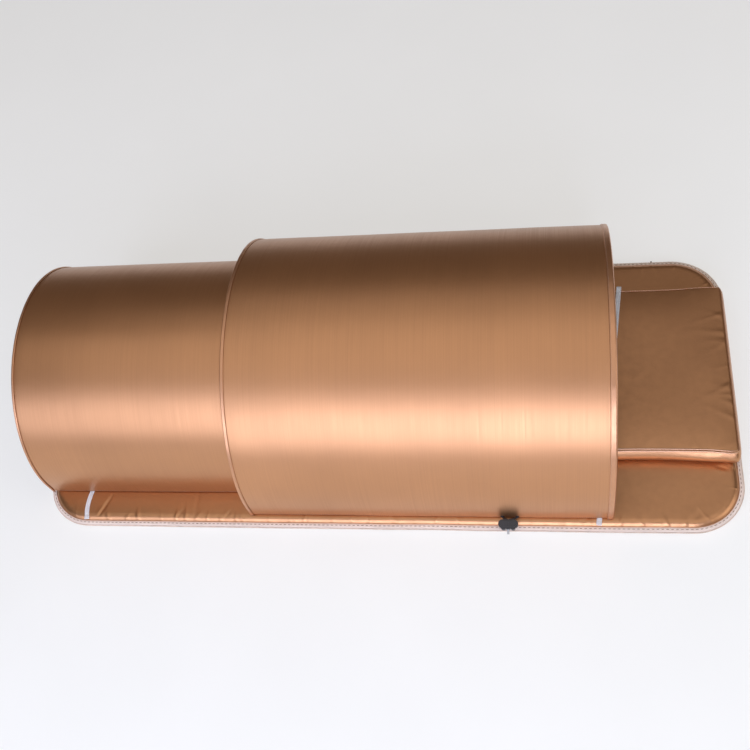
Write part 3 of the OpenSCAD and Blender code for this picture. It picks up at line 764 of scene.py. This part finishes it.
def tooth_row(places, ways, outs, sign):
    return (
        places[:, None, :]
        + TOOTH_SHAPE[None, :, 0, None] * ways[:, None, :]
        + TOOTH_SHAPE[None, :, 1, None] * outs[:, None, :]
        + sign * TOOTH_SHAPE[None, :, 2, None] * Z
    )


# ------------------------------------------------------------------ shells

def arch_line(radius, centre_y, centre_z, foot_z, step):
    """Places round an arch in (Y, Z) from the near hem to the far one, with inward directions."""
    legs = max(3, round((centre_z - foot_z) / step) + 1)
    z = np.linspace(foot_z, centre_z, legs)[:-1]
    turn = np.linspace(math.pi, 0, round(math.pi * radius / step) + 1)
    leg = np.full(legs - 1, radius)
    y = centre_y + np.concatenate([-leg, radius * np.cos(turn), leg])
    z = np.concatenate([z, centre_z + radius * np.sin(turn), z[::-1]])
    inward = np.zeros((len(y), 3))
    inward[: legs - 1, 1] = 1
    inward[legs - 1 : legs - 1 + len(turn), 1] = -np.cos(turn)
    inward[legs - 1 : legs - 1 + len(turn), 2] = -np.sin(turn)
    inward[legs - 1 + len(turn) :, 1] = -1
    return np.column_stack([0 * y, y, z]), inward


def shell_sizes(which):
    lo, hi = box(which + "_cover")
    radius = (hi[1] - lo[1]) / 2
    return dict(
        radius=radius, y=(lo[1] + hi[1]) / 2, z=hi[2] - radius, foot=lo[2], x1=lo[0], x2=hi[0],
        body=which + "_shell", name=which,
    )


def hem_rounding(places, foot, size):
    """How much of the wall's thickness is left: all of it, but less just above the hems."""
    rise = np.clip((places[:, 2] - foot) / size, 0, 1)
    return 0.45 + 0.55 * np.sqrt(np.clip(1 - (1 - rise) ** 2, 0, 1))


def add_rows(places, inward, foot, extra):
    """Puts a few more rows in just above each hem, where the wall rounds under."""
    rise = np.array(extra)
    near, far, near_way, far_way = (
        np.tile(row, (len(rise), 1)) for row in (places[0], places[-1], inward[0], inward[-1])
    )
    near[:, 2] = foot + rise
    far[:, 2] = (foot + rise)[::-1]
    return (
        np.vstack([places[:1], near, places[1:-1], far, places[-1:]]),
        np.vstack([inward[:1], near_way, inward[1:-1], far_way, inward[-1:]]),
    )


SKIN_DEPTH = 0.0202           # the cover and its padding, in from the shell's outside


def make_skin(s):
    places, inward = arch_line(s["radius"], s["y"], s["z"], s["foot"], 0.0065)
    places, inward = add_rows(places, inward, s["foot"], [0.0008, 0.0020, 0.0038])
    across = np.tile(X, (len(places), 1))
    x1, x2 = s["x1"], s["x2"]
    x = np.linspace(x1 + 0.004, x2 - 0.004, 110)
    mid = SKIN_DEPTH / 2
    profile = np.vstack([
        [(x1 + 0.0003, mid), (x1 + 0.0008, 0.0040), (x1 + 0.002, 0.0012)],
        np.stack([x, 0 * x], 1),
        [(x2 - 0.002, 0.0012), (x2 - 0.0008, 0.0040), (x2 - 0.0003, mid)],
        [(x2 - 0.0006, SKIN_DEPTH - 0.003), (x2 - 0.003, SKIN_DEPTH)],
        np.stack([np.linspace(x2 - 0.06, x1 + 0.06, 12), np.full(12, SKIN_DEPTH)], 1),
        [(x1 + 0.003, SKIN_DEPTH), (x1 + 0.0006, SKIN_DEPTH - 0.003)],
    ])
    profile = np.tile(profile, (len(places), 1, 1))
    run = lengths(places)
    seed = len(s["name"])
    outer = slice(3, 3 + len(x))
    px = profile[:, outer, 0]
    dent = 0.00040 * wobble(px, run[:, None] * 0.6, seed, 0.42)
    dent += 0.00006 * wobble(px, run[:, None] * 0.3, seed + 9, 0.09)
    near_end = np.minimum(px - x1, x2 - px)
    dent *= np.clip(near_end / 0.05, 0, 1)
    # the padding swells a little between the sewn ends and sinks at the seams
    dent += 0.0011 * np.exp(-near_end / 0.012)
    profile[:, outer, 1] += dent
    keep = hem_rounding(places, s["foot"], 0.0055)[:, None]
    profile[..., 1] = mid + (profile[..., 1] - mid) * keep
    grid = swept(places, across, inward, profile)
    skin = lattice(s["name"] + "_shell_skin", grid, False, True, True, M["shell"])
    finish_piece(skin, s["body"], "gold_pu", s["name"] + "_cover", s["name"] + "_padding")
    hem_stitches(s)


def hem_stitches(s):
    """Topstitching a little above each hem, on the outside."""
    for side, label in ((-1, "near"), (1, "far")):
        y, z = s["y"] + side * (s["radius"] + 0.0001), s["foot"] + 0.009
        line = np.array([(x, y, z) for x in np.linspace(s["x1"] + 0.02, s["x2"] - 0.02, 40)])
        ups = np.tile(side * Y, (len(line), 1))
        place, way, lift = along(line, ups, 0.0048)
        row = stitches(f"{s['name']}_hem_stitches_{label}", place, way, lift, 0.0034, 0.00032, M["thread"])
        finish_piece(row, s["body"], "binding_pu")


def make_binding(s, end, width, bulge):
    """Cloth folded over a shell's end and sewn down. end is 1 at the head and -1 at the foot."""
    edge = s["x2"] if end > 0 else s["x1"]
    lift, proud = 0.9 * MM, 0.9 * MM
    middle = [
        (-width, -0.1 * MM), (-0.93 * width, -lift - 0.4 * bulge), (-0.70 * width, -lift - bulge),
        (-0.40 * width, -lift - bulge), (-0.14 * width, -lift - 0.6 * bulge),
        (-0.0002, 0.4 * MM), (proud, 4.0 * MM), (proud + 0.9 * MM, WALL / 2),
        (proud, WALL - 4.0 * MM), (-0.0002, WALL - 0.4 * MM),
        (-0.18 * width, WALL + lift + 0.3 * bulge), (-0.6 * width, WALL + lift + 0.4 * bulge),
        (-width, WALL + 0.1 * MM),
    ]
    line = smooth_line([(edge + end * a, d) for a, d in middle], 4)
    places, inward = arch_line(s["radius"], s["y"], s["z"], s["foot"], 0.006)
    across = np.tile(X, (len(places), 1))
    run = lengths(places)
    profile = np.tile(thick(line, TAPE_HALF), (len(places), 1, 1))
    profile[..., 1] += (0.00018 * wobble(run, 0 * run, 31 + end, 0.025))[:, None]
    name = f"{s['name']}_{'head' if end > 0 else 'foot'}"
    grid = swept(places, across, inward, profile)
    band = lattice(name + "_edge", grid, False, True, True, M["binding"])
    finish_piece(band, s["body"], "binding_pu", name + "_binding")
    # a row of stitches through it, near its inner edge on the shell's outside
    outer = line[:20]
    order = np.argsort(outer[:, 0])
    seam_x = edge - end * (width - 0.0022)
    depth = np.interp(seam_x, outer[order, 0], outer[order, 1]) - 0.0006
    seam = places + seam_x * X + depth * inward
    place, way, up = along(seam, -inward, 0.0044)
    row = stitches(name + "_stitches", place, way, up, 0.0031, 0.00036, M["thread"])
    finish_piece(row, s["body"], "binding_pu")


def make_lining(s):
    """Quilted cloth inside a shell, sewn through in bands across it."""
    inner = s["radius"] - WALL
    places, inward = arch_line(inner, s["y"], s["z"], s["foot"] + 0.0012, 0.009)
    across = np.tile(X, (len(places), 1))
    x = np.linspace(s["x1"] + 0.004, s["x2"] - 0.004, 150)
    bands = max(1, round((s["x2"] - s["x1"]) / 0.09))
    phase = (x - s["x1"]) / (s["x2"] - s["x1"]) * bands
    swell = 0.0026 * np.abs(np.sin(math.pi * phase)) ** 0.6
    run = lengths(places)
    top = swell[None, :] * (1 + 0.12 * wobble(x[None, :], run[:, None], 61, 0.12))
    top *= (np.clip(run / 0.03, 0, 1) * np.clip((run[-1] - run) / 0.03, 0, 1))[:, None]
    face = np.stack([np.tile(x, (len(places), 1)), top], 2)
    back = np.stack([np.tile(x[::-1], (len(places), 1)), top[:, ::-1] - 0.0011], 2)
    grid = swept(places, across, inward, np.concatenate([face, back], 1))
    sheet = lattice(s["name"] + "_quilted_lining", grid, False, True, True, M["lining"])
    finish_piece(sheet, s["body"], "lining_cloth", s["name"] + "_lining")


# ------------------------------------------------------------------ head cushion

def box_lattice(counts):
    """Points and faces of a closed box from -1 to 1, cut into a grid on every side."""
    index, points, faces = {}, [], []

    def at(cell):
        if cell not in index:
            index[cell] = len(points)
            points.append([2 * k / count - 1 for k, count in zip(cell, counts)])
        return index[cell]

    for axis, u, v in ((2, 0, 1), (1, 0, 2), (0, 1, 2)):
        for level in (0, counts[axis]):
            for a in range(counts[u]):
                for b in range(counts[v]):
                    face = []
                    for da, db in ((0, 0), (1, 0), (1, 1), (0, 1)):
                        cell = [level] * 3
                        cell[u], cell[v] = a + da, b + db
                        face.append(at(tuple(cell)))
                    faces.append(face)
    return np.array(points), faces


pad_lo, pad_hi = box("head_pad_cover")
PAD_MID = (pad_lo + pad_hi) / 2
PAD_HALF = (pad_hi - pad_lo) / 2
PAD_CORNER = 0.012
SEAM_Z = pad_hi[2] - 0.0030
PULL_NEAR, PULL_FAR = 0.007, 0.004          # how far the long sides pull in between their corners
PAD_GROWTH = np.array([0.0005, 0.0035])     # how far its seams stand outside the CAD block
PAD_BELLY = [(1, -1, 0.0145), (1, 1, 0.0040), (0, 1, 0.0055), (0, -1, 0.0040)]  # axis, side, swell


def rounded_plan(x, y, half, corner):
    """Moves the corners of a rectangle in to a radius."""
    qx, qy = np.abs(x) - (half[0] - corner), np.abs(y) - (half[1] - corner)
    inside = (qx > 0) & (qy > 0)
    length = np.hypot(np.maximum(qx, 0), np.maximum(qy, 0))
    pull = np.where(inside, np.maximum(qx, qy) / np.maximum(length, 1e-9), 1.0)
    nx = np.where(inside, np.sign(x) * (half[0] - corner + qx * pull), x)
    ny = np.where(inside, np.sign(y) * (half[1] - corner + qy * pull), y)
    return nx, ny


def cushion_start():
    """The cushion before it swells: a box with rounded corners and pulled-in long sides."""
    points, faces = box_lattice((74, 78, 9))
    half = PAD_HALF[:2] + PAD_GROWTH
    x, y = rounded_plan(points[:, 0] * half[0], points[:, 1] * half[1], half, PAD_CORNER)
    pull = np.where(y < 0, PULL_NEAR, PULL_FAR)
    y -= np.sign(y) * pull * (1 - (x / half[0]) ** 2) * np.abs(y / half[1]) ** 3
    w = (points[:, 2] + 1) / 2
    z = pad_lo[2] + 0.0002 + w * (SEAM_Z - pad_lo[2])
    return np.column_stack([x + PAD_MID[0], y + PAD_MID[1], z]), faces


def seam_hold(points):
    """1 along the cushion's top and bottom edges, 0 on its panels."""
    half = PAD_HALF[:2] + PAD_GROWTH
    x, y = np.abs(points[:, :2] - PAD_MID[:2]).T
    pull = np.where(points[:, 1] < PAD_MID[1], PULL_NEAR, PULL_FAR) * (1 - (x / half[0]) ** 2)
    plan = np.minimum(half[0] - x, half[1] - pull - y)
    level = np.minimum(points[:, 2] - pad_lo[2], SEAM_Z - points[:, 2])
    return ((plan < 0.0055) & (level < 0.0055)).astype(float)


def puff(piece, voxel, pressure, cap, floor_z, hold, frames=20):
    """Swells a closed piece by a short pressure simulation of its cloth, held at its seams."""
    scene = bpy.context.scene
    remesh = piece.modifiers.new("even", "REMESH")
    remesh.mode = "VOXEL"
    remesh.voxel_size = voxel
    apply_modifiers(piece)
    start = vertex_array(piece)
    seams = piece.vertex_groups.new(name="seams")
    seams.add([int(i) for i in np.flatnonzero(hold(start))], 1.0, "REPLACE")
    cloth_sim = piece.modifiers.new("fabric", "CLOTH")
    settings = cloth_sim.settings
    settings.vertex_group_mass = "seams"
    settings.pin_stiffness = 1.0
    settings.quality = 6
    settings.mass = 0.35
    settings.tension_stiffness = settings.compression_stiffness = 22
    settings.bending_stiffness = 0.6
    settings.use_pressure = True
    settings.uniform_pressure_force = pressure
    settings.effector_weights.gravity = 0
    cloth_sim.point_cache.frame_end = frames
    for number in range(1, frames + 1):
        scene.frame_set(number)
    apply_modifiers(piece)
    scene.frame_set(1)
    moved = vertex_array(piece) - start
    size = np.linalg.norm(moved, axis=1)
    moved *= np.minimum(1.0, cap / np.maximum(size, 1e-9))[:, None]
    points = start + moved
    points[:, 2] = np.maximum(points[:, 2], floor_z)
    set_vertices(piece, points)
    piece.vertex_groups.clear()


def apply_modifiers(piece):
    bpy.context.view_layer.update()
    graph = bpy.context.evaluated_depsgraph_get()
    mesh = bpy.data.meshes.new_from_object(piece.evaluated_get(graph))
    old = piece.data
    piece.modifiers.clear()
    piece.data = mesh
    bpy.data.meshes.remove(old)


def vertex_array(piece):
    points = np.zeros(len(piece.data.vertices) * 3)
    piece.data.vertices.foreach_get("co", points)
    return points.reshape(-1, 3)


def set_vertices(piece, points):
    piece.data.vertices.foreach_set("co", points.ravel())
    piece.data.update()


def belly_out(points, axis, side, amount):
    """Rounds out one side of the cushion between its seams."""
    reach = side * (points[:, axis] - PAD_MID[axis])
    share = np.clip(reach / reach.max(), 0, 1) ** 8
    level = np.clip((points[:, 2] - pad_lo[2]) / (SEAM_Z - pad_lo[2]), 0, 1)
    points[:, axis] += side * share * amount * np.sin(math.pi * level**0.9)


def cushion_puckers(points):
    """Gathers on the cushion's top, running in from its head edge and its long seams."""
    x, y, z = points.T
    on_top = np.clip((z - SEAM_Z + 0.002) / 0.003, 0, 1)
    height = np.zeros(len(points))
    draw = np.random.default_rng(17)
    for count, share, inside, place, middle, half in (
        (12, 1.0, pad_hi[0] - x, y, PAD_MID[1], PAD_HALF[1]),
        (7, 0.5, pad_hi[1] - y, x, PAD_MID[0], PAD_HALF[0]),
        (7, 0.5, y - pad_lo[1], x, PAD_MID[0], PAD_HALF[0]),
    ):
        depth = np.maximum(inside, 0)
        for _ in range(count):
            at = middle + draw.uniform(-0.95, 0.95) * half
            width = draw.uniform(0.007, 0.016)
            reach = draw.uniform(0.012, 0.042) * (0.5 + 0.5 * share)
            tall = draw.uniform(0.6, 1.9) * MM * share
            off = place - at - draw.uniform(-0.6, 0.6) * inside
            shape = np.exp(-((off / width) ** 2)) * np.cos(1.3 * off / width)
            height += tall * shape * np.exp(-depth / reach) * np.clip(depth / 0.008, 0, 1)
    points[:, 2] += height * on_top
    return points


def make_cushion():
    points, faces = cushion_start()
    pad = make_object("head_cushion", points, faces, None, M["pad"])
    puff(pad, 0.006, 4.0, 0.009, pad_lo[2] + 0.0001, seam_hold)
    fine = pad.modifiers.new("fine", "SUBSURF")
    fine.levels = fine.render_levels = 1
    apply_modifiers(pad)
    points = vertex_array(pad)
    for axis, side, amount in PAD_BELLY:
        belly_out(points, axis, side, amount)
    points = cushion_puckers(points)
    points[:, 2] = np.maximum(points[:, 2], pad_lo[2])
    set_vertices(pad, points)
    shade_smooth(pad.data)
    if not pad.data.materials:
        pad.data.materials.append(M["pad"])
    finish_piece(pad, "mat", "gold_pu", "head_pad_cover", "head_pad_foam")
    return pad


def surface_tree(piece):
    graph = bpy.context.evaluated_depsgraph_get()
    return BVHTree.FromObject(piece, graph)


def height_on(trees, x, y, default):
    best = default
    for tree in trees:
        hit = tree.ray_cast(Vector((x, y, 0.5)), Vector((0, 0, -1)))
        if hit[0] is not None:
            best = max(best, hit[0].z)
    return best


def cushion_ring(tree):
    """Places round the cushion at its top seam's height, with their outward directions."""
    turn = np.linspace(0, 2 * math.pi, 360, endpoint=False)
    way = np.stack([np.cos(turn), np.sin(turn)], 1)
    start = PAD_MID[:2] + way / np.abs(way).max(1)[:, None] * (PAD_HALF[:2] + 0.03)
    aim = -np.sign(way) * np.abs(way) ** 8
    aim /= np.linalg.norm(aim, axis=1)[:, None]
    ring = []
    for (x, y), (dx, dy) in zip(start, aim):
        hit = tree.ray_cast(Vector((x, y, SEAM_Z - 0.003)), Vector((dx, dy, 0)))[0]
        ring.append((hit.x, hit.y))
    ring = smooth_loop(np.array(ring), 3)
    ahead = np.roll(ring, -1, 0) - np.roll(ring, 1, 0)
    ahead /= np.linalg.norm(ahead, axis=1)[:, None]
    return ring, np.stack([ahead[:, 1], -ahead[:, 0]], 1)


def smooth_loop(points, reach):
    """Evens out a closed line with a running mean."""
    return sum(np.roll(points, k, 0) for k in range(-reach, reach + 1)) / (2 * reach + 1)


def make_cushion_piping(pad):
    """A corded seam round the cushion's top, full along its near side, and the fold inside it."""
    tree = surface_tree(pad)
    ring, out = cushion_ring(tree)
    near = smooth_loop(np.clip(-out[:, 1], 0, 1) ** 4, 4)[:, None, None]
    ropes = []
    for tag, thin, full, inset_thin, inset_full, sink in (
        ("cord", 0.5, 2.3, 0.0, -0.6, 0.6), ("turned_fold", 0.4, 1.9, 2.0, 4.4, 0.0),
    ):
        radius = (thin + (full - thin) * near) * MM
        inset = (inset_thin + (inset_full - inset_thin) * near[:, 0]) * MM
        line = ring - inset * out
        if tag == "cord":
            height = SEAM_Z - 0.0012 * (1 - near[:, 0, 0])
        else:
            height = np.array([height_on([tree], x, y, SEAM_Z) for x, y in line])
            height = smooth_loop(height, 5)
        places = np.column_stack([line, height])
        profile = round_profile(1.0, 12, (0.0, -sink))[None] * radius
        grid = swept(places, flat3(out), np.tile(Z, (len(line), 1)), profile)
        rope = lattice(f"cushion_{tag}", grid, True, True, material=M["piping"])
        finish_piece(rope, "mat", "binding_pu", *(("head_pad_piping",) if tag == "cord" else ()))
        ropes.append(rope)
    return ropes


# ------------------------------------------------------------------ straps

# how the head strap goes down behind the cushion: distance past the cushion's box and height
STRAP_TAIL = [
    (0.0055, 0.0812), (0.0100, 0.0790), (0.0134, 0.0735), (0.0150, 0.0640), (0.0154, 0.0500),
    (0.0158, 0.0390), (0.0174, 0.0325), (0.0205, 0.0312), (0.0250, 0.0310), (0.0300, 0.0308),
]


def strap(name, line, trees, node, tail=None, width=0.0125, thickness=0.0010):
    """Webbing that lies on what is under it: a ribbed strip along a line of (x, y), then a tail."""
    z = np.array([
        max(height_on(trees, x + d, y, MAT_TOP - 0.004) for d in (-0.004, 0, 0.004)) for x, y in line
    ])
    z = np.convolve(np.pad(z, 2, mode="edge"), np.ones(5) / 5, mode="valid")
    places = np.column_stack([line, z + 0.0003])
    if tail is not None:
        places = np.vstack([places, smooth_line(np.vstack([places[-1:], tail]), 3)[1:]])
    way = np.gradient(places, axis=0)
    way /= np.linalg.norm(way, axis=1)[:, None]
    across = np.cross(way * (1, 1, 0), Z)
    across /= np.linalg.norm(across, axis=1)[:, None]
    up = np.cross(across, way)
    t = np.linspace(-1, 1, 21)
    rib = 0.00012 * np.cos(t * 5 * math.pi)
    round_edge = np.sqrt(np.clip(1 - t**8, 0, 1))
    top = np.stack([t * width / 2, thickness * (0.5 + 0.5 * round_edge) + rib * round_edge], 1)
    bottom = np.stack([t[::-1] * width / 2, thickness * (0.5 - 0.5 * round_edge[::-1])], 1)
    grid = swept(places, across, up, np.vstack([top, bottom[1:-1]]))
    piece = lattice(name, grid, False, True, True, M["webbing"])
    finish_piece(piece, "mat", "webbing", node)
    return places, across, up


ANCHOR = 0.009                # length of the sewn patch at a strap's end


def anchor_patch(name, place, across, up, way):
    """The strap's end folded back on itself and box-stitched."""
    t = np.linspace(0, 1, 8)[:, None]
    line = place + way * ANCHOR * t
    across = np.tile(across, (len(line), 1))
    ups = np.tile(up, (len(line), 1))
    profile = thick(np.stack([np.linspace(-1, 1, 9) * 0.0066, np.full(9, 0.0012)], 1), 0.0006)
    patch = lattice(name, swept(line, across, ups, profile), False, True, True, M["webbing"])
    box_and_cross = [(-1, 0.12), (1, 0.12), (1, 0.88), (-1, 0.88), (-1, 0.12), (1, 0.88)]
    route = np.array([
        place + way * ANCHOR * b + across[0] * a * 0.0048 + up * 0.0019 for a, b in box_and_cross
    ])
    at, ahead, lift = along(route, np.tile(up, (len(route), 1)), 0.0016)
    return patch, stitches(name + "_stitches", at, ahead, lift, 0.0012, 0.0002, M["pale_thread"])


def make_straps(quilt, pad, ropes):
    trees = [surface_tree(p) for p in [quilt, pad] + ropes]
    y = np.linspace(-0.381, 0.381, 170)
    foot_x = -0.7725 - 0.0045 * np.cos(np.clip((np.abs(y) - 0.339) / 0.04, -1, 1) * math.pi / 2)
    head_y = np.linspace(-0.381, pad_hi[1] - 0.006, 145)
    tail = np.array([(0.0, pad_hi[1] + past, height) for past, height in STRAP_TAIL])
    tail[:, 0] = head_strap_x(tail[:, 1])
    replaced = ["strap_anchors"]    # the CAD's patches, by the first one made here
    for label, x, y, after in (
        ("foot", foot_x, y, None), ("head", head_strap_x(head_y), head_y, tail),
    ):
        line = np.stack([x, y], 1)
        places, across, up = strap(f"{label}_webbing", line, trees, f"{label}_strap", after)
        for end, inner, side in ((0, 1, "near"), (-1, -2, "far")):
            way = places[inner] - places[end]
            way /= np.linalg.norm(way)
            name = f"{label}_anchor_{side}"
            patch, row = anchor_patch(name, places[end], across[end], up[end], way)
            finish_piece(patch, "mat", "webbing", *replaced)
            finish_piece(row, "mat", "webbing")
            replaced = []


def head_strap_x(y):
    """The head strap runs slantwise across the mat."""
    return 0.596 + 0.113 * y


# ------------------------------------------------------------------ floor

def make_floor():
    corners = flat3(np.array([(-3.4, -2.6), (3.2, -2.6), (3.2, 2.3), (-3.4, 2.3)]), -0.0003)
    floor = make_object("floor", corners, [[0, 1, 2, 3]], None, M["floor"], False)


add_camera()
set_stage()
make_materials()
dress_cad_nodes()
make_floor()
quilt = make_mat()
make_underside()
make_zip()
for which, foot_width, head_width in (
    ("large", NARROW_BINDING, WIDE_BINDING), ("small", SLIM_BINDING, NARROW_BINDING),
):
    sizes = shell_sizes(which)
    make_skin(sizes)
    make_lining(sizes)
    make_binding(sizes, -1, foot_width, 0.4 * MM)
    make_binding(sizes, 1, head_width, 0.35 * MM)
pad = make_cushion()
ropes = make_cushion_piping(pad)
make_straps(quilt, pad, ropes)
